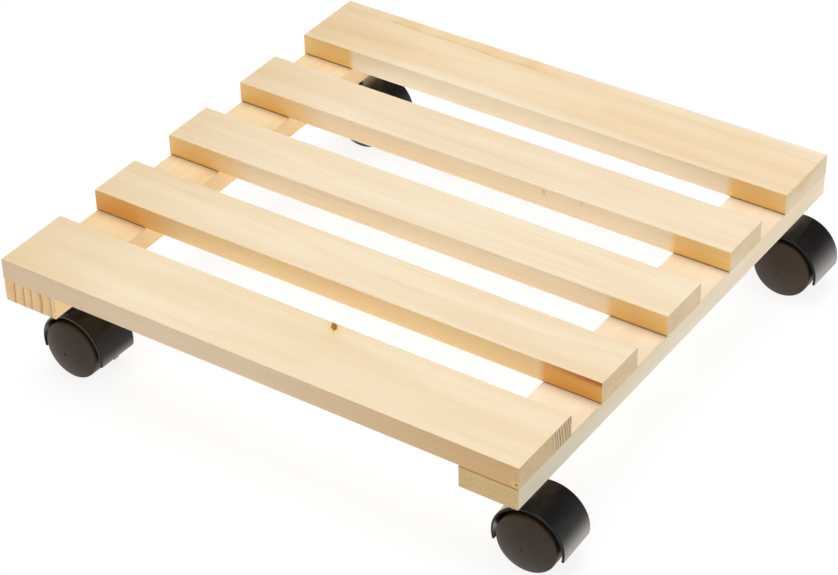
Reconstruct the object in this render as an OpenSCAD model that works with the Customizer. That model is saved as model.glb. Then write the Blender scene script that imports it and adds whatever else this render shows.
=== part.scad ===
// A rolling plant stand: five slats across two battens, on four hooded twin-wheel castors.
// Millimetres, +Z up. The origin is the centre of the deck's top face, the slats run along X and
// the front is towards -Y.

/* [Deck] */
// Length of the slats, from side to side
deck_width = 290; // [220:1:400]
// Depth of the deck, from the front slat's face to the back slat's
deck_depth = 291; // [250:1:400]
// Width of the front and back slats
wide_slat_width = 43.8; // [40:0.1:50]
// Width of the three slats between them
narrow_slat_width = 31.6; // [24:0.1:38]
// Thickness of the slats
slat_thickness = 11.7; // [9:0.1:18]
// Rounding of the boards' long edges
board_edge_radius = 0.6; // [0.2:0.1:1.5]
// How far the second slat was fixed behind its even place
second_slat_shift = -0.8; // [-3:0.1:3]
// How far the middle slat was
middle_slat_shift = -0.3; // [-3:0.1:3]
// How far the fourth slat was
fourth_slat_shift = 1.3; // [-3:0.1:3]

/* [Battens] */
// Width of a batten
batten_width = 30.8; // [27:0.1:45]
// Thickness of a batten
batten_thickness = 12; // [9:0.1:20]
// How far a batten's outer side lies in from the slats' ends
batten_side_inset = 0.2; // [0:0.1:10]
// How far a batten's ends lie in from the deck's front and back
batten_end_inset = 0.3; // [0:0.1:5]

/* [Screws] */
// Diameter of the screws' shank
screw_shank_diameter = 3; // [2:0.1:3.6]
// Diameter of the countersunk head
screw_head_diameter = 6; // [5:0.1:7]
// Wood left above a screw's tip
screw_tip_cover = 3; // [2:0.1:5]
// Width of the arms of the cross recess
screw_recess_width = 0.9; // [0.6:0.1:1.1]
// Depth of the cross recess
screw_recess_depth = 1.2; // [0.8:0.1:1.4]
// Span of the cross recess
screw_recess_span = 3.6; // [2.4:0.1:4]
// How far a screw lies to each side of the batten's centre line
screw_offset_across = 8; // [5:0.5:8.5]
// How far a wide slat's screws lie to each side of the castor's stem
wide_slat_screw_offset = 12.5; // [11:0.5:13]
// How far a narrow slat's screws lie to each side of the slat's centre line
narrow_slat_screw_offset = 7; // [4:0.5:8]

/* [Castor fixing] */
// From the deck's front or back to a castor's swivel axis
stem_inset = 22.5; // [20:0.5:24]
// Diameter of the steel stem
stem_diameter = 6; // [5:0.1:6.4]
// Chamfer of the stem's ends
stem_chamfer = 0.6; // [0.3:0.1:1]
// Wall of the socket sleeve
socket_wall = 1.3; // [1.1:0.1:1.8]
// Wood left above the socket
socket_cover = 3.2; // [2.4:0.1:5]
// Diameter of the socket's flange
socket_flange_diameter = 13; // [11.5:0.5:16]
// Thickness of the socket's flange
socket_flange_thickness = 1.2; // [0.8:0.1:1.6]
// Diameter of the stem's collar
collar_diameter = 9.6; // [8:0.1:11]
// Height of the stem's collar
collar_height = 3; // [2:0.1:4]
// Height of the two spring rings on a stem
ring_height = 0.9; // [0.7:0.1:1.2]
// How far a spring ring stands out of the stem
ring_proud = 0.4; // [0.2:0.05:0.5]
// How far a spring ring sits into the stem
ring_sunk = 0.5; // [0.3:0.05:0.8]
// Part of a full turn that a spring ring covers, in degrees
ring_sweep = 310; // [270:5:330]
// From an end of the stem to the middle of its spring ring
ring_end_distance = 2.5; // [2:0.1:4]

/* [Castor housing] */
// From the batten's underside to the top of the hood
hood_drop = 8; // [7:0.1:12]
// How far the hood reaches past the swivel axis, on the side away from the axle
hood_overhang = 5.9; // [5.5:0.1:6.8]
// Width of the hood, along the axle
hood_width = 24; // [22:0.5:30]
// Wall of the hood
hood_wall = 1.2; // [1:0.1:2]
// Clearance between the hood and the treads
hood_clearance = 2.1; // [1:0.1:2.6]
// Rounding of the hood's outer edges
hood_edge_radius = 0.6; // [0.3:0.1:0.8]
// How far below level the hood reaches on the axle's side, in degrees
hood_leading_angle = 11; // [0:1:20]
// How far below level the hood reaches on the stem's side, in degrees
hood_trailing_angle = 16; // [5:1:25]
// Diameter of the boss round the stem
boss_diameter = 9.6; // [9.2:0.1:11]
// How far the boss reaches below the axle
boss_reach = 2.8; // [2:0.1:5]
// Floor of the stem's bore in the boss
boss_floor = 2.1; // [1.6:0.1:3]
// Chamfer round the boss's top
boss_chamfer = 0.6; // [0.3:0.1:1]
// Thickness of the web between the wheels
web_thickness = 3; // [2:0.1:4]
// Diameter of the hub that holds the axle
hub_diameter = 8.4; // [6.5:0.1:9.5]

/* [Wheels] */
// Diameter of the wheels
wheel_diameter = 31; // [31:0.5:36]
// Clearance between a wheel and the boss
boss_clearance = 0.5; // [0.4:0.1:1]
// How far the middle of a wheel's domed face stands out of the hood's side
dome_stand_out = 5; // [4.2:0.1:5.4]
// Radius of the domed face
dome_radius = 32.2; // [29:0.2:36]
// Rounding between the domed face and the tread
shoulder_radius = 1.4; // [0.8:0.1:2]
// Diameter of the gate mark in the middle of the domed face
gate_mark_diameter = 1.8; // [1.2:0.1:2.4]
// Depth of the gate mark
gate_mark_depth = 0.3; // [0.1:0.05:0.4]
// Thickness of the domed face
face_wall = 1.8; // [1.4:0.1:2.2]
// Thickness of the tread's wall
rim_wall = 2.4; // [1.8:0.1:3]
// Diameter of the wheel's hub
wheel_hub_diameter = 7.2; // [6.2:0.1:8.4]
// Number of ribs inside a wheel
rib_count = 6; // [4:1:10]
// Thickness of those ribs
rib_thickness = 1; // [0.8:0.1:1.6]
// How far the ribs stop short of the wheel's inner side
rib_setback = 1.2; // [0.6:0.1:2]

/* [Axle] */
// Diameter of the axle
axle_diameter = 3; // [2.4:0.1:3.4]
// From the top of the domed face to the axle's end
axle_end_cover = 1.9; // [1.6:0.1:2.4]
// Depth of the axle's snap grooves
snap_depth = 0.25; // [0.15:0.05:0.3]
// Width of the bead in the wheel that runs in the groove
snap_bead_width = 0.6; // [0.4:0.1:0.8]
// From the axle's end to its snap groove
snap_inset = 0.8; // [0.6:0.1:1]

/* [Fits] */
// Radial clearance of parts that turn on each other
running_clearance = 0.05; // [0.03:0.01:0.08]
// Radial clearance of parts that stay put in each other
seat_clearance = 0.02; // [0.01:0.01:0.04]
// Play between faces that pass each other
face_play = 0.3; // [0.2:0.05:0.4]

/* [Castors as they stand] */
// Turn of the front left castor from pointing right, in degrees
front_left_turn = -1.8; // [-180:0.1:180]
// How far that castor was fixed to the right of its even place
front_left_across = -0.5; // [-3:0.1:3]
// How far it was fixed behind its even place
front_left_back = 2.2; // [-3:0.1:3]
// Turn of the front right castor
front_right_turn = 2; // [-180:0.1:180]
// How far to the right it was fixed
front_right_across = 0.4; // [-3:0.1:3]
// How far to the back it was fixed
front_right_back = -0.5; // [-3:0.1:3]
// Turn of the rear left castor
rear_left_turn = 3; // [-180:0.1:180]
// How far to the right it was fixed
rear_left_across = 0; // [-3:0.1:3]
// How far to the back it was fixed
rear_left_back = 0; // [-3:0.1:3]
// Turn of the rear right castor
rear_right_turn = -1; // [-180:0.1:180]
// How far to the right it was fixed
rear_right_across = -1; // [-3:0.1:3]
// How far to the back it was fixed
rear_right_back = -0.1; // [-3:0.1:3]

/* [Hidden] */
$fn = 72;
// Cuts run past a face by this much
past = 1;

slat_gap = (deck_depth - 2 * wide_slat_width - 3 * narrow_slat_width) / 4;
slat_pitch = narrow_slat_width + slat_gap;
narrow_slat_places = [second_slat_shift - slat_pitch, middle_slat_shift, slat_pitch + fourth_slat_shift];
wide_slat_y = (deck_depth - wide_slat_width) / 2;
batten_x = deck_width / 2 - batten_side_inset - batten_width / 2;
batten_length = deck_depth - 2 * batten_end_inset;
deck_thickness = slat_thickness + batten_thickness;
stem_y = deck_depth / 2 - stem_inset;

screw_radius = screw_shank_diameter / 2;
screw_head_radius = screw_head_diameter / 2;
screw_head_height = screw_head_radius - screw_radius;
screw_length = deck_thickness - screw_tip_cover;
screw_tip_height = screw_shank_diameter;

stem_radius = stem_diameter / 2;
socket_bore = stem_radius + seat_clearance;
socket_radius = socket_bore + socket_wall;
socket_length = deck_thickness - socket_cover;
ring_radius = stem_radius + ring_proud;
ring_groove = stem_radius - ring_sunk;
stem_top = socket_length - face_play;
grip_ring_z = stem_top - ring_end_distance;
collar_bottom = -socket_flange_thickness - collar_height;

hood_inside = wheel_diameter / 2 + hood_clearance;
hood_radius = hood_inside + hood_wall;
trail = hood_radius - hood_overhang;
axle_drop = hood_drop + hood_radius;
boss_top = collar_bottom - face_play;
boss_bottom = -axle_drop - boss_reach;
bore_radius = stem_radius + running_clearance;
bore_bottom = boss_bottom + boss_floor;
stem_bottom = bore_bottom + face_play;
clip_z = stem_bottom + ring_end_distance;
clip_groove = ring_radius + 2 * running_clearance;

wheel_radius = wheel_diameter / 2;
wheel_inner = boss_diameter / 2 + boss_clearance;
hub_half_length = wheel_inner - face_play;
dome_top = hood_width / 2 + dome_stand_out;
dome_centre = dome_top - dome_radius;
shoulder_start = wheel_radius - shoulder_radius;
// The shoulder's arc touches the dome's where both slope by this angle
shoulder_slope = asin(shoulder_start / (dome_radius - shoulder_radius));
tread_end = dome_centre + (dome_radius - shoulder_radius) * cos(shoulder_slope);
wheel_bore = axle_diameter / 2 + running_clearance;
axle_end = dome_top - axle_end_cover;
bead_start = axle_end - snap_inset - snap_bead_width;
snap_groove = axle_diameter / 2 - snap_depth;

// Each corner: its name, the place of its castor's swivel axis and the castor's turn
CORNERS = [
    ["front_left", [front_left_across - batten_x, front_left_back - stem_y], front_left_turn],
    ["front_right", [front_right_across + batten_x, front_right_back - stem_y], front_right_turn],
    ["rear_left", [rear_left_across - batten_x, rear_left_back + stem_y], rear_left_turn],
    ["rear_right", [rear_right_across + batten_x, rear_right_back + stem_y], rear_right_turn],
];
// Each slat: its name, its centre line and its width
SLATS = [
    ["slat_front", -wide_slat_y, wide_slat_width],
    ["slat_second", narrow_slat_places[0], narrow_slat_width],
    ["slat_middle", narrow_slat_places[1], narrow_slat_width],
    ["slat_fourth", narrow_slat_places[2], narrow_slat_width],
    ["slat_back", wide_slat_y, wide_slat_width],
];
SIDES = [["left", -1], ["right", 1]];
CASTOR_PIECES = ["socket", "grip_ring", "stem", "stem_clip", "housing", "axle", "wheel_front", "wheel_rear"];

// Places of one batten's screws, two to a slat, on opposite sides of the batten's centre line
function screw_places(side) = concat(
    [for (end = [-1, 1], s = [-1, 1])
        [side * batten_x + s * screw_offset_across, end * (stem_y + s * wide_slat_screw_offset)]],
    [for (place = narrow_slat_places, s = [-1, 1])
        [side * batten_x + s * screw_offset_across, place + s * narrow_slat_screw_offset]]
);

// A board along X, its long edges rounded, with its top at Z = 0
module board(length, width, thickness) {
    translate([0, 0, -thickness / 2])
        rotate([90, 0, 90])
            linear_extrude(height = length, center = true) {
                square([width - 2 * board_edge_radius, thickness], center = true);
                square([width, thickness - 2 * board_edge_radius], center = true);
                for (x = [-1, 1], y = [-1, 1])
                    translate([x * (width / 2 - board_edge_radius), y * (thickness / 2 - board_edge_radius)])
                        circle(r = board_edge_radius);
            }
}

// A countersunk screw that points up, its head's face at Z = 0; grow makes the hole for it
module screw_shape(grow = 0) {
    cylinder(h = screw_length - screw_tip_height + grow, r = screw_radius + grow);
    translate([0, 0, screw_length - screw_tip_height + grow])
        cylinder(h = screw_tip_height, r1 = screw_radius + grow, r2 = 0);
    cylinder(h = screw_head_height, r1 = screw_head_radius + grow, r2 = screw_radius + grow);
}

// Holes in the boards for the screws and the sockets, up from the battens' underside
module deck_holes() {
    translate([0, 0, -deck_thickness]) {
        for (side = SIDES, place = screw_places(side[1]))
            translate([place[0], place[1], 0]) {
                screw_shape(seat_clearance);
                translate([0, 0, -past])
                    cylinder(h = past, r = screw_head_radius + seat_clearance);
            }
        for (corner = CORNERS)
            translate([corner[1][0], corner[1][1], -past])
                cylinder(h = socket_length + face_play + past, r = socket_radius + seat_clearance);
    }
}

module slat(centre_y, width) {
    color("#ecd9b4")
        difference() {
            translate([0, centre_y, 0])
                board(deck_width, width, slat_thickness);
            deck_holes();
        }
}

module batten(side) {
    color("#dfc79c")
        difference() {
            translate([side * batten_x, 0, -slat_thickness])
                rotate([0, 0, 90])
                    board(batten_length, batten_width, batten_thickness);
            deck_holes();
        }
}

// Ten countersunk screws with a cross recess, each a separate solid
module screws(side) {
    color("#c9b77a")
        for (place = screw_places(side))
            translate([place[0], place[1], -deck_thickness])
                difference() {
                    screw_shape();
                    for (turn = [0, 90])
                        rotate([0, 0, turn])
                            cube([screw_recess_span, screw_recess_width, 2 * screw_recess_depth],
                                center = true);
                }
}

// Puts a castor's piece at its corner: swivel axis along Z, batten's underside at Z = 0
module at_corner(corner) {
    translate([corner[1][0], corner[1][1], -deck_thickness])
        rotate([0, 0, corner[2]])
            children();
}

// Puts a piece that lies along Z onto the axle; side -1 faces its top to the front, 1 to the rear
module on_axle(side = 1) {
    translate([trail, 0, -axle_drop])
        rotate([-side * 90, 0, 0])
            children();
}

// A ring cut out of a shaft or a bore, centred on height z
module ring_cut(z, inside, outside, height) {
    translate([0, 0, z - height / 2])
        difference() {
            cylinder(h = height, r = outside);
            translate([0, 0, -past])
                cylinder(h = height + 2 * past, r = inside);
        }
}

// The sleeve in the wood, with the flange that lies on the batten and a groove for the grip ring
module socket() {
    color("#a8acb0")
        difference() {
            union() {
                cylinder(h = socket_length, r = socket_radius);
                translate([0, 0, -socket_flange_thickness])
                    cylinder(h = socket_flange_thickness, d = socket_flange_diameter);
            }
            translate([0, 0, -socket_flange_thickness - past])
                cylinder(h = socket_length + socket_flange_thickness + 2 * past, r = socket_bore);
            translate([0, 0, grip_ring_z - ring_height])
                cylinder(h = 2 * ring_height, r = ring_radius + running_clearance);
        }
}

// The steel pin: its upper end in the socket, its collar under the flange, its lower end in the housing
module stem() {
    color("#b9bdc1")
        difference() {
            union() {
                translate([0, 0, stem_bottom + stem_chamfer])
                    cylinder(h = stem_top - stem_bottom - 2 * stem_chamfer, r = stem_radius);
                translate([0, 0, stem_top - stem_chamfer])
                    cylinder(h = stem_chamfer, r1 = stem_radius, r2 = stem_radius - stem_chamfer);
                translate([0, 0, stem_bottom])
                    cylinder(h = stem_chamfer, r1 = stem_radius - stem_chamfer, r2 = stem_radius);
                translate([0, 0, collar_bottom])
                    cylinder(h = collar_height, d = collar_diameter);
            }
            for (z = [grip_ring_z, clip_z])
                ring_cut(z, ring_groove, stem_radius + past, ring_height + 2 * seat_clearance);
        }
}

// A split spring ring in one of the stem's grooves, centred on height z
module spring_ring(z) {
    color("#8d9195")
        translate([0, 0, z - ring_height / 2])
            rotate_extrude(angle = ring_sweep)
                translate([ring_groove + seat_clearance, 0])
                    square([ring_radius - ring_groove - seat_clearance, ring_height]);
}

// The hood's section, radius along X and the axle's direction along Y
module hood_section() {
    half = hood_width / 2;
    translate([hood_inside, -half])
        square([hood_wall - hood_edge_radius, hood_width]);
    translate([hood_inside, -half + hood_edge_radius])
        square([hood_wall, hood_width - 2 * hood_edge_radius]);
    for (side = [-1, 1])
        translate([hood_radius - hood_edge_radius, side * (half - hood_edge_radius)])
            circle(r = hood_edge_radius);
}

// The web between the wheels: the hood's sector, drawn in below to the hub
module web_outline() {
    reach = 2 * hood_radius;
    lead = -hood_leading_angle;
    trailing = 180 + hood_trailing_angle;
    intersection() {
        circle(r = hood_inside + hood_wall / 2);
        polygon([
            [0, -hub_diameter / 2],
            [reach * cos(lead), reach * sin(lead)],
            [reach, reach],
            [-reach, reach],
            [reach * cos(trailing), reach * sin(trailing)],
        ]);
    }
}

// The moulded body of the castor: hood, web, hub and the boss that swivels on the stem
module housing() {
    color("#1f1c1a")
        difference() {
            union() {
                on_axle(-1) {
                    rotate([0, 0, -hood_leading_angle])
                        rotate_extrude(angle = 180 + hood_leading_angle + hood_trailing_angle)
                            hood_section();
                    linear_extrude(height = web_thickness, center = true)
                        web_outline();
                    cylinder(h = 2 * hub_half_length, d = hub_diameter, center = true);
                }
                translate([0, 0, boss_bottom])
                    cylinder(h = boss_top - boss_bottom - boss_chamfer, d = boss_diameter);
                translate([0, 0, boss_top - boss_chamfer])
                    cylinder(h = boss_chamfer, d1 = boss_diameter, d2 = boss_diameter - 2 * boss_chamfer);
            }
            translate([0, 0, bore_bottom])
                cylinder(h = boss_top - bore_bottom + past, r = bore_radius);
            translate([0, 0, clip_z - ring_height])
                cylinder(h = 2 * ring_height, r = clip_groove);
            on_axle()
                cylinder(h = 2 * (hub_half_length + past), r = axle_diameter / 2 + seat_clearance,
                    center = true);
        }
}

// The steel axle, fast in the housing's hub, with a snap groove near each end
module axle() {
    color("#b9bdc1")
        on_axle()
            difference() {
                cylinder(h = 2 * axle_end, d = axle_diameter, center = true);
                for (side = [-1, 1])
                    ring_cut(side * (bead_start + snap_bead_width / 2), snap_groove, axle_diameter,
                        snap_bead_width + 2 * face_play);
            }
}

// The domed face's disc, seen in a section with the wheel's axis along Y
module dome_disc(shrink = 0) {
    translate([0, dome_centre])
        circle(r = dome_radius - shrink);
}

// Half the section of a solid wheel, radius along X, standing on its inner side
module wheel_section() {
    translate([0, wheel_inner])
        square([wheel_radius, tread_end - wheel_inner]);
    intersection() {
        translate([shoulder_start, tread_end])
            circle(r = shoulder_radius);
        translate([0, wheel_inner])
            square([wheel_radius, dome_top]);
    }
    intersection() {
        dome_disc();
        polygon([
            [0, tread_end],
            [shoulder_start, tread_end],
            [shoulder_start + dome_top * sin(shoulder_slope), tread_end + dome_top * cos(shoulder_slope)],
            [0, 2 * dome_top],
        ]);
    }
}

// A wheel along +Z: tread and domed face outside, hollow and ribbed inside, on a blind hub
module wheel() {
    color("#3d352f")
        difference() {
            rotate_extrude()
                wheel_section();
            difference() {
                rotate_extrude()
                    intersection() {
                        dome_disc(face_wall);
                        translate([wheel_hub_diameter / 2, wheel_inner - past])
                            square([wheel_radius - rim_wall - wheel_hub_diameter / 2, dome_top]);
                    }
                for (turn = [0 : rib_count - 1])
                    rotate([0, 0, turn * 360 / rib_count])
                        translate([0, -rib_thickness / 2, wheel_inner + rib_setback])
                            cube([wheel_radius, rib_thickness, dome_top]);
            }
            translate([0, 0, wheel_inner - past])
                cylinder(h = bead_start - wheel_inner + past, r = wheel_bore);
            translate([0, 0, wheel_inner - past])
                cylinder(h = axle_end - wheel_inner + past, r = snap_groove + 2 * running_clearance);
            translate([0, 0, bead_start + snap_bead_width])
                cylinder(h = axle_end + face_play - bead_start - snap_bead_width, r = wheel_bore);
            translate([0, 0, dome_top - gate_mark_depth])
                cylinder(h = gate_mark_depth + past, d = gate_mark_diameter);
        }
}

for (s = SLATS)
    slat(s[1], s[2]);
for (side = SIDES) {
    batten(side[1]);
    screws(side[1]);
}
for (c = CORNERS) {
    at_corner(c) socket();
    at_corner(c) spring_ring(grip_ring_z);
    at_corner(c) stem();
    at_corner(c) spring_ring(clip_z);
    at_corner(c) housing();
    at_corner(c) axle();
    at_corner(c) on_axle(-1) wheel();
    at_corner(c) on_axle(1) wheel();
}
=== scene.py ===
# The looks of a rolling plant stand: five pine slats on two pine battens, four hooded twin-wheel castors.
# The origin is the centre of the deck's top face, the slats run along X and the front is towards -Y.

import bpy
import numpy as np
from mathutils import Matrix, Vector


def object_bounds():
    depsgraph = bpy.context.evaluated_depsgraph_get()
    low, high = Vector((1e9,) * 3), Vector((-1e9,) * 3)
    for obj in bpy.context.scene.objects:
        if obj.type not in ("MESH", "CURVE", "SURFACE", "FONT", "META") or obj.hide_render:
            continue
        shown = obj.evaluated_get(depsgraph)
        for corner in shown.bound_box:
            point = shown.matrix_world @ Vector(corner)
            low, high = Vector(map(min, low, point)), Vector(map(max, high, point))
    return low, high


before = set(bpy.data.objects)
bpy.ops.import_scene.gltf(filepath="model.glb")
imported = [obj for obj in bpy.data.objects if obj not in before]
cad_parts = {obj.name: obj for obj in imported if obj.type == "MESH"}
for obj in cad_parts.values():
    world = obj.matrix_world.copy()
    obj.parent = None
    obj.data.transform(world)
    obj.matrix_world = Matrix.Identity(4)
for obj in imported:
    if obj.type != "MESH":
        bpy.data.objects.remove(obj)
cad_lowest, cad_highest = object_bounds()
MM = 0.001

# Slats
# Five planed boards of northern pine, sawn to length and left bare, screwed down from below. They come
# from different logs, so each has its own pith and ring width, and its ends show the same rings.


def linear(colour):
    """An sRGB hex colour in linear light: each channel by the sRGB curve, then a full alpha."""
    channels = np.array([int(colour[i:i + 2], 16) for i in (1, 3, 5)]) / 255
    light = np.where(channels <= 0.04045, channels / 12.92, ((channels + 0.055) / 1.055) ** 2.4)
    return (*light.tolist(), 1.0)


def add(tree, kind, sockets=None, stops=None, **settings):
    """Adds a node with its settings. Each socket, by name or number, gets a value, or a link from a node
    or from one of its outputs. Stops are a ramp's places and colours."""
    made = tree.nodes.new("ShaderNode" + kind)
    for name, value in settings.items():
        setattr(made, name, value)
    for place, value in (sockets or {}).items():
        if isinstance(place, str):
            place = next(i for i, s in enumerate(made.inputs) if s.enabled and s.name == place)
        if isinstance(value, bpy.types.Node):
            value = next(s for s in value.outputs if s.enabled)
        if isinstance(value, bpy.types.NodeSocket):
            tree.links.new(value, made.inputs[place])
        else:
            made.inputs[place].default_value = value
    for number, (place, colour) in enumerate((stops or {}).items()):
        marks = made.color_ramp.elements
        if number == 0:
            marks.remove(marks[-1])
            marks[0].position = place
        (marks.new(place) if number else marks[0]).color = linear(colour)
    return made


def material(name):
    """A new material with an empty tree and its output node."""
    made = bpy.data.materials.new(name)
    made.use_nodes = True
    made.node_tree.nodes.clear()
    return made, made.node_tree, made.node_tree.nodes.new("ShaderNodeOutputMaterial")


def rings(tree, place, noise, ring, drift, seed):
    """The distance from the pith in millimetres, and the same counted in rings. The pith, a line along the
    board, drifts this far over some 170 mm, so flat faces show long slanting lines. The distance over a
    ring's width is then shifted by noise: good and bad years, each alike all round the tree, and a little
    unevenness from place to place."""
    wander = add(tree, "VectorMath", {0: noise((170, 400, 400), 1.0).outputs["Color"], 1: (0.5, 0.5, 0.5)},
                 operation="SUBTRACT")
    bent = add(tree, "VectorMath", {0: wander, 1: (0, drift, drift), 2: place}, operation="MULTIPLY_ADD")
    radial = add(tree, "VectorMath", {0: bent, 1: (0, 1, 1)}, operation="MULTIPLY")
    radius = add(tree, "VectorMath", {0: radial}, operation="LENGTH").outputs["Value"]
    year = add(tree, "Math", {0: radius, 1: 0.3 / ring, 2: seed}, operation="MULTIPLY_ADD")
    years = add(tree, "TexNoise", {"W": year, "Scale": 1.0, "Detail": 1.0}, noise_dimensions="1D")
    uneven = add(tree, "Math", {0: noise((90, 12, 12), 1.0), 1: 0.35}, operation="MULTIPLY")
    shift = add(tree, "Math", {0: years, 1: 1.3, 2: uneven}, operation="MULTIPLY_ADD")
    turns = add(tree, "Math", {0: radius, 1: 1 / ring, 2: shift}, operation="MULTIPLY_ADD")
    return radius, turns


def round_knot(tree, place, noise, pith, knot):
    """The distance from a knot's axis, made a little rough and counted in the knot's radii, and how far the
    rings are pushed aside there. The distance is the length of the cross product of the axis' direction
    and the way from the knot's place; the push falls from 1.3 rings to none at five radii."""
    centre = tuple(np.subtract(knot["place"], (0, *pith)))
    way = add(tree, "VectorMath", {0: place, 1: centre}, operation="SUBTRACT")
    swing = add(tree, "VectorMath", {0: way, 1: tuple(Vector(knot["leads"]).normalized())},
                operation="CROSS_PRODUCT")
    gap = add(tree, "VectorMath", {0: swing}, operation="LENGTH").outputs["Value"]
    rough = add(tree, "Math", {0: noise((1.6, 1.2, 1.2)), 1: 1.1 * knot["radius"], 2: gap},
                operation="MULTIPLY_ADD")
    radii = add(tree, "Math", {0: rough, 1: knot["radius"]}, operation="DIVIDE")
    push = add(tree, "MapRange", {"Value": gap, "From Min": 0, "From Max": 5 * knot["radius"],
                                  "To Min": 1.3, "To Max": 0}, interpolation_type="SMOOTHERSTEP")
    return radii, push


def with_knot(tree, colour, radii, share):
    """The wood's colour with a knot in it: a yellow halo up to five radii from the axis, and a brown core
    of about one and a half, with a dark ring round it."""
    near = add(tree, "Math", {0: radii, 1: 1 / 5}, operation="MULTIPLY")
    halo = add(tree, "ValToRGB", {"Fac": near},
               stops={0.0: "#ffffff", 0.3: "#dcdcdc", 0.75: "#404040", 1.0: "#000000"})
    halo = add(tree, "Math", {0: halo, 1: 0.8 * share}, operation="MULTIPLY")
    colour = add(tree, "Mix", {"Factor": halo, "A": colour, "B": linear("#ecc86c")}, data_type="RGBA")
    nearer = add(tree, "Math", {0: radii, 1: 1 / 2.5}, operation="MULTIPLY")
    core = add(tree, "ValToRGB", {"Fac": nearer},
               stops={0.0: "#bd8420", 0.34: "#a06c12", 0.5: "#764a0e", 0.6: "#a06c12"})
    inside = add(tree, "MapRange", {"Value": radii, "From Min": 1.2, "From Max": 1.7, "To Min": share,
                                    "To Max": 0})
    return add(tree, "Mix", {"Factor": inside, "A": colour, "B": core}, data_type="RGBA")


def with_streak(tree, colour, place, noise, pith, streak):
    """The wood's colour with a resin streak in it, a yellow band beside a narrower brown line: both follow
    a straight line from the streak's start to its end, waved by up to 3 mm, fade over the last eighth at
    each end, and are broken by noise along the board."""
    start, end, half = streak["start"], streak["end"], streak["half_width"]
    slope = (end[1] - start[1]) / (end[0] - start[0])
    parts = add(tree, "SeparateXYZ", {0: place})
    wave = add(tree, "Math", {0: noise((38, 600, 600), 1.0), 1: 6.0, 2: -3.0}, operation="MULTIPLY_ADD")
    line = add(tree, "Math", {0: parts.outputs["X"], 1: slope, 2: start[1] - pith[0] - slope * start[0]},
               operation="MULTIPLY_ADD")
    off = add(tree, "Math", {0: parts.outputs["Y"], 1: line}, operation="SUBTRACT")
    off = add(tree, "Math", {0: off, 1: wave}, operation="ADD")
    middle, reach = (start[0] + end[0]) / 2, abs(end[0] - start[0]) / 2
    from_middle = add(tree, "Math", {0: parts.outputs["X"], 1: middle}, operation="SUBTRACT")
    from_middle = add(tree, "Math", {0: from_middle}, operation="ABSOLUTE")
    within = add(tree, "MapRange", {"Value": from_middle, "From Min": 0.75 * reach, "From Max": reach,
                                    "To Min": 1, "To Max": 0}, interpolation_type="SMOOTHSTEP")
    broken = add(tree, "MapRange", {"Value": noise((22, 300, 300), 1.0), "From Min": 0.35, "From Max": 0.6})
    band, brown_line = (-1, 0.4, 5, 8), (-0.6, 0, 0, 0.6)
    for edges, tone, share in ((band, "#efca8c", 0.8), (brown_line, "#c8955c", 0.5)):
        edges = [half * edge for edge in edges]
        rise = add(tree, "MapRange", {"Value": off, "From Min": edges[0], "From Max": edges[1],
                                      "To Max": share}, interpolation_type="SMOOTHSTEP")
        shown = add(tree, "MapRange", {"Value": off, "From Min": edges[2], "From Max": edges[3],
                                       "To Min": 1, "To Max": 0}, interpolation_type="SMOOTHSTEP")
        for part in (rise, within, broken):
            shown = add(tree, "Math", {0: shown, 1: part}, operation="MULTIPLY")
        colour = add(tree, "Mix", {"Factor": shown, "A": colour, "B": linear(tone)}, data_type="RGBA")
    return colour


def stain_and_shade(colour, face, along=(-200, -180), height=(9, 8), least=1.0):
    """A tint on a face of a board, for pine, which serves both for stains and for painted light and shade:
    the colour that it is multiplied by, the direction that the face looks in, the places along the board
    where the tint begins and where it is full, and the heights where it has only its least share and where
    it is full. Without places and heights it is even."""
    return dict(colour=colour, face=face, along=along, height=height, least=least)


def with_stain_and_shade(tree, colour, place, normal, pith, mark):
    """The wood's colour times the tint's, be it a stain or painted light or shade, by the product of three
    shares: how squarely the surface looks in the tint's direction, and how far along the board and how far
    up the point lies."""
    edge = add(tree, "VectorMath", {0: normal, 1: mark["face"]}, operation="DOT_PRODUCT")
    edge = add(tree, "MapRange", {"Value": edge.outputs["Value"], "From Min": 0.3, "From Max": 0.7})
    parts = add(tree, "SeparateXYZ", {0: place})
    start, full = mark["along"]
    reach = add(tree, "MapRange", {"Value": parts.outputs["X"], "From Min": start, "From Max": full})
    level = add(tree, "Math", {0: parts.outputs["Z"], 1: pith[1]}, operation="ADD")
    faint, full = mark["height"]
    share = add(tree, "MapRange", {"Value": level, "From Min": faint, "From Max": full,
                                   "To Min": mark["least"], "To Max": 1})
    for part in (edge, reach):
        share = add(tree, "Math", {0: share, 1: part}, operation="MULTIPLY")
    return add(tree, "Mix", {"Factor": share, "A": colour, "B": linear(mark["colour"])},
               data_type="RGBA", blend_type="MULTIPLY")


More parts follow.
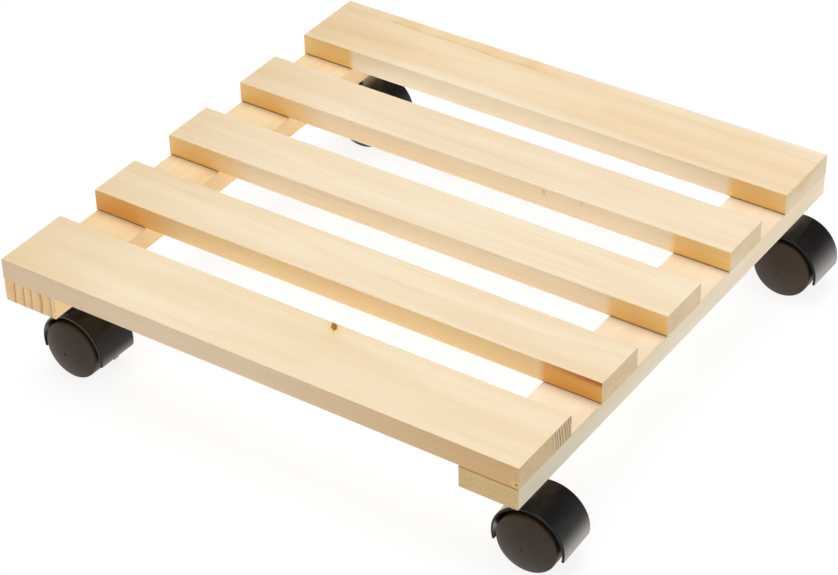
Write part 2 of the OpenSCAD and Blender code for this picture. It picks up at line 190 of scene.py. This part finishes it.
def pine(name, along, pith, ring, early, late, seed, sawn, drift=5.0, planed=0.13, sap=None, knots=(),
         streaks=(), stains_and_shade=()):
    """Bare planed pine, satin: the colour of a point comes from its distance to the pith, a line along the
    board, in turns of one ring's width, pale earlywood up to a thin darker latewood line. Sizes are in
    millimetres, and pith is its place across and up in the part's frame. Planed is the latewood's
    strength on planed faces; sawn has the ends' tint, their latewood's colour and strength, and the
    distance from the pith where that strength begins. Sap is a paler colour and the distance from the
    pith at which it starts."""
    made, tree, output = material(name)
    where = add(tree, "TexCoord")
    normal = where.outputs["Normal"]

    # Place is in millimetres: X runs along the board, and the pith lies where Y and Z are 0
    if along == "X":
        length, turn, across = (1, 0, 0), 0.0, -pith[0]
    else:
        length, turn, across = (0, 1, 0), -np.pi / 2, pith[0]
    place = add(tree, "Mapping", {"Vector": where.outputs["Object"], "Scale": (1 / MM,) * 3,
                                  "Rotation": (0, 0, turn), "Location": (0, across, -pith[1])})

    def noise(size, detail=2.0, roughness=0.5):
        """Noise whose blobs are this many millimetres long, wide and high."""
        scaled = add(tree, "VectorMath", {0: place, 1: tuple(1 / s for s in size)}, operation="MULTIPLY")
        return add(tree, "TexNoise", {"Vector": scaled, "W": seed, "Scale": 1.0, "Detail": detail,
                                      "Roughness": roughness}, noise_dimensions="4D")

    # The rings flow round the knots
    radius, turns = rings(tree, place, noise, ring, drift, seed)
    knot_radii = []
    for knot in knots:
        radii, push = round_knot(tree, place, noise, pith, knot)
        knot_radii.append(radii)
        turns = add(tree, "Math", {0: turns, 1: push}, operation="ADD")
    year = add(tree, "Math", {0: turns}, operation="FRACT")
    latewood = add(tree, "ValToRGB", {"Fac": year}, stops={
        0.0: "#000000", 0.35: "#1c1c1c", 0.72: "#6a6a6a", 0.88: "#ffffff", 0.96: "#ffffff", 1.0: "#000000"})

    # Planed faces show the rings faintly; the sawn ends, whose open pores take up dirt, show them more
    facing = add(tree, "VectorMath", {0: normal, 1: length}, operation="DOT_PRODUCT").outputs["Value"]
    facing = add(tree, "Math", {0: facing}, operation="ABSOLUTE")
    at_end = add(tree, "MapRange", {"Value": facing, "From Min": 0.6, "From Max": 0.8})
    rings_begin = sawn.get("start", 0)
    strong = add(tree, "MapRange", {"Value": radius, "From Min": rings_begin, "From Max": rings_begin + 4,
                                    "To Min": 0.08 * sawn["share"], "To Max": sawn["share"]})
    share = add(tree, "Mix", {"Factor": at_end, "A": planed, "B": strong})
    share = add(tree, "Math", {0: latewood, 1: share}, operation="MULTIPLY")
    dark = linear(sawn.get("late", late))
    dark = add(tree, "Mix", {"Factor": at_end, "A": linear(late), "B": dark}, data_type="RGBA")
    colour = add(tree, "Mix", {"Factor": share, "A": linear(early), "B": dark}, data_type="RGBA")
    if sap:
        outside = add(tree, "MapRange", {"Value": radius, "From Min": sap[1] - 3, "From Max": sap[1] + 3})
        colour = add(tree, "Mix", {"Factor": outside, "A": colour, "B": linear(sap[0])}, data_type="RGBA")

    # Fibres, about 0.3 mm wide and drawn 0.8 mm wide so that they show, and broad soft bands
    fibre = noise((45, 0.8, 0.8), 3.0, 0.65)
    bands = noise((120, 14, 14), 2.0)
    for pattern, darkest in ((fibre, "#fbf7f0"), (bands, "#f9f1e6")):
        tone = add(tree, "ValToRGB", {"Fac": pattern}, stops={0.3: darkest, 0.62: "#ffffff"})
        colour = add(tree, "Mix", {"Factor": 1.0, "A": colour, "B": tone}, data_type="RGBA",
                     blend_type="MULTIPLY")

    # The sawn ends' open pores, about 0.7 mm apart, and their tint
    pores = noise((0.7, 0.7, 0.7), 3.0, 0.6)
    pores = add(tree, "ValToRGB", {"Fac": pores}, stops={0.3: "#ece6dc", 0.6: "#ffffff"})
    pores = add(tree, "Mix", {"Factor": 1.0, "A": pores, "B": linear(sawn["tint"])}, data_type="RGBA",
                blend_type="MULTIPLY")
    end_tone = add(tree, "Mix", {"Factor": at_end, "A": linear("#ffffff"), "B": pores}, data_type="RGBA")
    colour = add(tree, "Mix", {"Factor": 1.0, "A": colour, "B": end_tone}, data_type="RGBA",
                 blend_type="MULTIPLY")

    for streak in streaks:
        colour = with_streak(tree, colour, place, noise, pith, streak)
    for mark in stains_and_shade:
        colour = with_stain_and_shade(tree, colour, place, normal, pith, mark)
    for knot, radii in zip(knots, knot_radii):
        colour = with_knot(tree, colour, radii, knot.get("share", 1.0))

    # The plane leaves latewood standing a little proud; the saw leaves the ends rough
    proud = add(tree, "Math", {0: latewood, 1: 0.3}, operation="MULTIPLY")
    relief = add(tree, "Math", {0: fibre, 1: 0.6, 2: proud}, operation="MULTIPLY_ADD")
    bump = add(tree, "Bump", {"Height": relief, "Distance": 0.06 * MM, "Strength": 0.6})
    gloss = add(tree, "MapRange", {"Value": fibre, "From Min": 0.3, "From Max": 0.7,
                                   "To Min": 0.5, "To Max": 0.66})
    wood = add(tree, "BsdfPrincipled", {"Base Color": colour, "Roughness": gloss, "Normal": bump,
                                        "IOR": 1.5})
    tree.links.new(wood.outputs[0], output.inputs[0])
    return made


def dress(node, made):
    """Gives a CAD node this material in all its slots."""
    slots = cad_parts[node].material_slots
    for slot in slots:
        slot.material = made
    if not slots:
        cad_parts[node].data.materials.append(made)


def corners(node):
    """A CAD node's lowest and highest corner, in millimetres."""
    points = np.array([vertex.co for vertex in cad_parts[node].data.vertices]) / MM
    return points.min(axis=0), points.max(axis=0)


FRONT, REAR, TOP, RIGHT = (0, -1, 0), (0, 1, 0), (0, 0, 1), (1, 0, 0)
left_batten_inside = corners("batten_left")[1][0]
right_batten_inside = corners("batten_right")[0][0]
front_lowest, front_highest = corners("slat_front")
slat_foot = front_lowest[2]
fourth_front = corners("slat_fourth")[0][1]
back_rear = corners("slat_back")[1][1]


def painted_batten_shade(colour, faces, fade):
    """Painted shade for the slats' edges over the battens, where the floor's light is cut off: a warm amber
    tint, stronger downwards, and a dark painted shadow line in the joint. They start at the right batten's
    inner side, and end at the left batten's after a fade of this many millimetres."""
    right = (right_batten_inside - 2.5, right_batten_inside + 1.5)
    # Painted warm shade over the battens, stronger downwards
    edge = dict(height=(-1, -9), least=0.78)
    # A painted shadow line in the joint between slat and batten
    painted_joint_shade = dict(height=(slat_foot + 0.8, slat_foot + 0.5), least=0.0)
    stains_and_shade = []
    for face in faces:
        for tone, past, level in ((colour, fade, edge), ("#6e451f", 0.5, painted_joint_shade)):
            left = (left_batten_inside + past, left_batten_inside - 1 - past / 4)
            stains_and_shade += [stain_and_shade(tone, face, along=reach, **level) for reach in (left, right)]
    return stains_and_shade


# The slats' edges over the battens get painted warm shade and a painted shadow line in their joints
SLAT_WOOD = {
    # Quarter sawn towards the rear: fine upright rings show at its right end. It has a knot by its rear
    # edge and a small one at its lower right corner. Its front face has painted shade, greyer and darker
    # all over, and it is browner to the right
    "slat_front": dict(
        pith=(-176, -18), ring=1.9, early="#f7e6c6", late="#dfb680", seed=1.3, planed=0.07,
        sawn=dict(tint="#dad1c2", late="#4a300e", share=1.0, start=59),
        knots=[dict(place=(19.8, front_highest[1] - 2.6, front_highest[2]), leads=(-0.55, 0.75, 0.42),
                    radius=1.5),
               dict(place=(front_highest[0] - 1.1, front_lowest[1], slat_foot + 2.3), leads=(-1.0, 0.8, 0.1),
                    radius=0.65)],
        stains_and_shade=[*painted_batten_shade("#ffeab4", [REAR], fade=2),
                # Painted shade: the front face is made greyer and darker all over
                stain_and_shade("#dfdbdb", FRONT),
                stain_and_shade("#f0dab4", FRONT, along=(0, 135))]),
    # Its front edge is painted warmer all along, as light bounced off the wood, and has a painted shadow
    # band along its top at the right end, over the batten
    "slat_second": dict(
        pith=(-64, -52), ring=2.6, early="#f7e6c7", late="#e2ba84", seed=2.1,
        sawn=dict(tint="#e2dcd4", share=0.18),
        stains_and_shade=[*painted_batten_shade("#f2ca7e", [FRONT, REAR], fade=24),
                # Painted warm bounce light on the front edge
                stain_and_shade("#fff2d8", FRONT),
                # A painted shadow band along the top of the front edge at the right end, over the batten
                stain_and_shade("#c49460", FRONT, along=(112, 138), height=(-3.4, -0.8), least=0.0)]),
    "slat_middle": dict(
        pith=(18, -44), ring=2.8, early="#f8e8cb", late="#e4c08c", seed=3.7,
        sawn=dict(tint="#e4dfd6", share=0.2),
        stains_and_shade=painted_batten_shade("#ffe4a0", [FRONT, REAR], fade=24)),
    # Two faint pin knots in its front edge
    "slat_fourth": dict(
        pith=(70, -40), ring=3.0, early="#f8e8cc", late="#e4be8a", seed=4.4,
        sawn=dict(tint="#e8e5de", share=0.2),
        knots=[dict(place=(41.3, fourth_front, -2.4), leads=(0.15, 0.6, -0.8), radius=0.8, share=0.35),
               dict(place=(63.0, fourth_front, -1.2), leads=(0.5, 0.7, -0.4), radius=0.6, share=0.25)],
        stains_and_shade=painted_batten_shade("#ffe29a", [FRONT, REAR], fade=24)),
    # A long orange resin streak runs near its rear edge
    "slat_back": dict(
        pith=(122, 34), ring=3.1, early="#f6e0bc", late="#e0b178", seed=5.9, sap=("#f9efdb", 40),
        sawn=dict(tint="#ece7dd", share=0.3),
        streaks=[dict(start=(-134, back_rear - 6.3), end=(-2, back_rear - 8.5), half_width=1.6)],
        stains_and_shade=painted_batten_shade("#ffdf98", [FRONT], fade=2)),
}
for node, wood in SLAT_WOOD.items():
    # Painted shade: the tops are darker towards the left ends, where the light falls off
    wood["stains_and_shade"].append(stain_and_shade("#f5f0e7", TOP, along=(-80, -138)))
    dress(node, pine("pine_" + node, "X", **wood))

# Battens
# Two planed pine boards under the slats' ends, across the grain of the deck. The left one is quarter
# sawn from a fast-grown tree, with wide upright rings on its end; the right one is flat sawn.

BATTEN_WOOD = {
    "batten_left": dict(
        pith=(-210, -16), ring=5.4, early="#f2dab0", late="#b98748", seed=6.2, drift=3.0, planed=0.04,
        sawn=dict(tint="#f6ecdc", share=0.75)),
    # Its outer side has painted cool shade, greyer towards the front, and its front end has a painted
    # brown shadow line along the joint with the slat
    "batten_right": dict(
        pith=(134, -66), ring=3.4, early="#f6e7cd", late="#e0bc88", seed=7.5, drift=3.0, planed=0.08,
        sawn=dict(tint="#d9ccac", share=0.3),
        # Painted cool shade on the outer side, growing towards the front
        stains_and_shade=[stain_and_shade("#dee8ec", RIGHT, along=(170, -140)),
                # A painted shadow line on the front end, along the joint with the slat
                stain_and_shade("#dcb888", FRONT, height=(slat_foot - 1.2, slat_foot - 0.8), least=0.0)]),
}
for node, wood in BATTEN_WOOD.items():
    dress(node, pine("pine_" + node, "Y", **wood))

# Screws
# Ten countersunk screws in each batten, driven up from below into the slats, two to a slat. They are
# steel, cold headed, zinc plated and yellow passivated.


def metal(name, colour, patches, roughness, grain):
    """Plated or drawn steel: a bright metal whose roughness changes by a fifth or so in fine scratches
    along Z, six times as long as they are wide, and whose colour changes in broad patches, some 3 mm
    wide. Grain is the scratches' width in millimetres."""
    made, tree, output = material(name)
    where = add(tree, "TexCoord").outputs["Object"]
    per_grain = 1 / (grain * MM)
    fine = add(tree, "VectorMath", {0: where, 1: (per_grain, per_grain, per_grain / 6)},
               operation="MULTIPLY")
    scratch = add(tree, "TexNoise", {"Vector": fine, "Scale": 1.0, "Detail": 3.0})
    broad = add(tree, "TexNoise", {"Vector": where, "Scale": 1 / (3 * MM), "Detail": 2.0})
    share = add(tree, "MapRange", {"Value": broad, "From Min": 0.4, "From Max": 0.75})
    tint = add(tree, "Mix", {"Factor": share, "A": linear(colour), "B": linear(patches)}, data_type="RGBA")
    gloss = add(tree, "MapRange", {"Value": scratch, "From Min": 0.3, "From Max": 0.7,
                                   "To Min": 0.8 * roughness, "To Max": 1.25 * roughness})
    bump = add(tree, "Bump", {"Height": scratch, "Distance": 0.01 * MM, "Strength": 0.5})
    steel = add(tree, "BsdfPrincipled", {"Base Color": tint, "Metallic": 1.0, "Roughness": gloss,
                                         "Normal": bump})
    tree.links.new(steel.outputs[0], output.inputs[0])
    return made


yellow_zinc = metal("yellow_passivated_zinc", "#d3bf82", "#b99a70", roughness=0.3, grain=0.25)
for node in ("screws_left", "screws_right"):
    dress(node, yellow_zinc)

# Castor fixings
# In each corner a pressed steel socket in the wood holds the castor's turned stem; split rings of
# spring steel keep the stem in the socket and the castor on the stem. Sockets and stems are zinc plated.

CORNERS = ("front_left", "front_right", "rear_left", "rear_right")
bright_zinc = metal("bright_zinc_plate", "#c9cccf", "#a7abb0", roughness=0.28, grain=0.2)
spring_steel = metal("blued_spring_steel", "#7b7f86", "#5c5f68", roughness=0.35, grain=0.2)
for corner in CORNERS:
    dress(corner + "_socket", bright_zinc)
    dress(corner + "_stem", bright_zinc)
    dress(corner + "_grip_ring", spring_steel)
    dress(corner + "_stem_clip", spring_steel)

# Castor housings
# One black nylon moulding each: the hood over both wheels, the web between them and the stem's boss.
# Nylon from a finely eroded mould is satin, with a soft sheen that follows the hood's curve.


def moulded(name, colour, flow_marks, roughness, texture, index, sheen=0.0):
    """Moulded plastic: a nearly even colour with faint flow marks some 14 mm long, and the mould's eroded
    texture, about 0.1 mm across on the real piece and drawn at this many millimetres so that it shows.
    Index is the plastic's refractive index: a dusty surface shines as if it were lower. Sheen is how
    much more it shines at a glancing angle, where the fine texture looks smooth."""
    made, tree, output = material(name)
    where = add(tree, "TexCoord").outputs["Object"]
    flow = add(tree, "TexNoise", {"Vector": where, "Scale": 1 / (14 * MM), "Detail": 2.0})
    share = add(tree, "MapRange", {"Value": flow, "From Min": 0.35, "From Max": 0.7})
    base = add(tree, "Mix", {"Factor": share, "A": linear(colour), "B": linear(flow_marks)},
               data_type="RGBA")
    spark = add(tree, "TexNoise", {"Vector": where, "Scale": 1 / (texture * MM), "Detail": 2.0})
    gloss = add(tree, "MapRange", {"Value": flow, "From Min": 0.3, "From Max": 0.7,
                                   "To Min": roughness - 0.03, "To Max": roughness + 0.04})
    bump = add(tree, "Bump", {"Height": spark, "Distance": 0.02 * MM, "Strength": 0.5})
    body = add(tree, "BsdfPrincipled", {"Base Color": base, "Roughness": gloss, "Normal": bump,
                                        "IOR": index})
    if sheen:
        glance = add(tree, "LayerWeight", {"Blend": 0.5}).outputs["Facing"]
        share = add(tree, "MapRange", {"Value": glance, "From Min": 0.36, "From Max": 0.7,
                                       "To Max": sheen}, interpolation_type="SMOOTHSTEP")
        shine = add(tree, "BsdfAnisotropic", {"Color": linear("#ece4da"), "Roughness": 0.3})
        body = add(tree, "MixShader", {0: share, 1: body, 2: shine})
    tree.links.new(body.outputs[0], output.inputs[0])
    return made


hood_nylon = moulded("black_moulded_nylon", "#120f0d", "#181412", roughness=0.26, texture=0.25,
                     index=1.34, sheen=0.36)
for corner in CORNERS:
    dress(corner + "_housing", hood_nylon)

# Axles
# A drawn steel pin, zinc plated, pressed through the hub of each housing. A wheel snaps onto each of
# its ends.

for corner in CORNERS:
    dress(corner + "_axle", bright_zinc)

# Wheels
# Two polypropylene mouldings on each castor, with a plain tread and a domed outer face, snapped onto the
# axle. The charcoal plastic is duller than the housing's and picks up dust.

wheel_plastic = moulded("charcoal_polypropylene", "#31251a", "#3b2e20", roughness=0.48, texture=0.3,
                        index=1.36)
for corner in CORNERS:
    for side in ("front", "rear"):
        dress(f"{corner}_wheel_{side}", wheel_plastic)

# Floor
# A wide white studio table. Seen from the camera it is white but for the object's soft shadow, also far
# from the lamps; from underneath it is clear, so that the underside can be looked at.

FLOOR_REACH = 12.0
across = np.array([-1, 1, 1, -1]) * FLOOR_REACH
along = np.array([-1, -1, 1, 1]) * FLOOR_REACH
floor_mesh = bpy.data.meshes.new("floor")
floor_mesh.from_pydata(np.column_stack([across, along, np.full(4, cad_lowest.z)]).tolist(), [],
                       [(0, 1, 2, 3)])
floor = bpy.data.objects.new("floor", floor_mesh)
bpy.context.scene.collection.objects.link(floor)
white_table, tree, output = material("white_table")
path = add(tree, "LightPath")
seen = add(tree, "Math", {0: path.outputs["Is Camera Ray"], 1: path.outputs["Is Glossy Ray"]},
           operation="MAXIMUM")
seen = add(tree, "Math", {0: seen, 1: path.outputs["Is Transmission Ray"]}, operation="MAXIMUM")
lit = add(tree, "AddShader", {0: add(tree, "BsdfDiffuse", {"Color": linear("#e8e8e8")}),
                              1: add(tree, "Emission", {"Color": linear("#fff8ec"), "Strength": 0.55})})
shaded = add(tree, "BsdfDiffuse", {"Color": linear("#747474")})
distance = add(tree, "VectorMath", {0: add(tree, "TexCoord").outputs["Object"]}, operation="LENGTH")
glow = add(tree, "MapRange", {"Value": distance.outputs["Value"], "From Min": 0.8, "From Max": 3,
                              "To Min": 0.86, "To Max": 1})
glow = add(tree, "Emission", {"Color": linear("#ffffff"), "Strength": glow})
table = add(tree, "AddShader", {0: glow, 1: shaded})
table = add(tree, "MixShader", {0: seen, 1: lit, 2: table})
clear = add(tree, "BsdfTransparent")
underneath = add(tree, "NewGeometry").outputs["Backfacing"]
table = add(tree, "MixShader", {0: underneath, 1: table, 2: clear})
tree.links.new(table.outputs[0], output.inputs[0])
floor_mesh.materials.append(white_table)

# Light
# Even white surroundings, a large softbox above the stand, a weaker one in front and a small one on the
# right. The white backdrop ends above the horizon: what shines shows it there, and the duller room above.

world = bpy.data.worlds.new("studio")
bpy.context.scene.world = world
world.use_nodes = True
world.node_tree.nodes.clear()
tree = world.node_tree
path = add(tree, "LightPath")
heading = add(tree, "SeparateXYZ", {0: add(tree, "TexCoord").outputs["Generated"]})
low = add(tree, "MapRange", {"Value": heading.outputs["Z"], "From Min": 0.05, "From Max": 0.3, "To Min": 1,
                             "To Max": 0})
low = add(tree, "Math", {0: low, 1: path.outputs["Is Glossy Ray"]}, operation="MULTIPLY")
seen = add(tree, "Math", {0: path.outputs["Is Camera Ray"], 1: path.outputs["Is Transmission Ray"]},
           operation="MAXIMUM")
seen = add(tree, "Math", {0: seen, 1: low}, operation="MAXIMUM")
around = add(tree, "Background", {"Color": linear("#ffffff"), "Strength": 0.26})
backdrop = add(tree, "Background", {"Color": linear("#ffffff"), "Strength": 1.0})
sky = add(tree, "MixShader", {0: seen, 1: around, 2: backdrop})
tree.links.new(sky.outputs[0], tree.nodes.new("ShaderNodeOutputWorld").inputs[0])


def softbox(name, place, size, power, colour="#ffffff"):
    """A square area lamp at this place, in metres, that faces the deck's middle."""
    lamp = bpy.data.lights.new(name, "AREA")
    lamp.size, lamp.energy, lamp.color = size, power, linear(colour)[:3]
    made = bpy.data.objects.new(name, lamp)
    made.location = place
    made.rotation_mode = "QUATERNION"
    made.rotation_quaternion = Vector(place).to_track_quat("Z", "Y")
    bpy.context.scene.collection.objects.link(made)


softbox("softbox_above", (-0.9, 0.6, 4.5), size=3.4, power=160.0)
softbox("softbox_front", (0.5, -2.6, 2.2), size=2.4, power=22.0)
softbox("softbox_right", (0.8, 0.22, 0.35), size=0.35, power=1.2, colour="#e2ecff")

# Camera
# Where the photograph was taken from, worked out from the deck's corners and the castors: it looks at
# a point of the deck's top plane, turned by azimuth, raised by elevation and rolled a little, all in
# radians and metres; lens and sensor are in millimetres.

AZIMUTH, ELEVATION, ROLL = 0.59953, 0.62556, -0.020365
DISTANCE, LENS, SENSOR = 1.25246, 115.26, 36.0
TARGET = np.array([0.03577, -0.05817, 0.0])
back = np.array([np.sin(AZIMUTH) * np.cos(ELEVATION), -np.cos(AZIMUTH) * np.cos(ELEVATION),
                 np.sin(ELEVATION)])
level = np.array([np.cos(AZIMUTH), np.sin(AZIMUTH), 0.0])
upright = np.cross(back, level)
right = np.cos(ROLL) * level + np.sin(ROLL) * upright
up = np.cos(ROLL) * upright - np.sin(ROLL) * level
camera_data = bpy.data.cameras.new("camera")
camera_data.lens, camera_data.sensor_width, camera_data.sensor_fit = LENS, SENSOR, "HORIZONTAL"
camera_data.clip_start, camera_data.clip_end = 0.05, 50.0
camera = bpy.data.objects.new("camera", camera_data)
camera.matrix_world = Matrix.Translation(Vector(TARGET + back * DISTANCE)) @ Matrix(
    np.column_stack([right, up, back]).tolist()).to_4x4()
bpy.context.scene.collection.objects.link(camera)
bpy.context.scene.camera = camera
bpy.context.scene.view_settings.view_transform = "Standard"

bpy.context.view_layer.update()
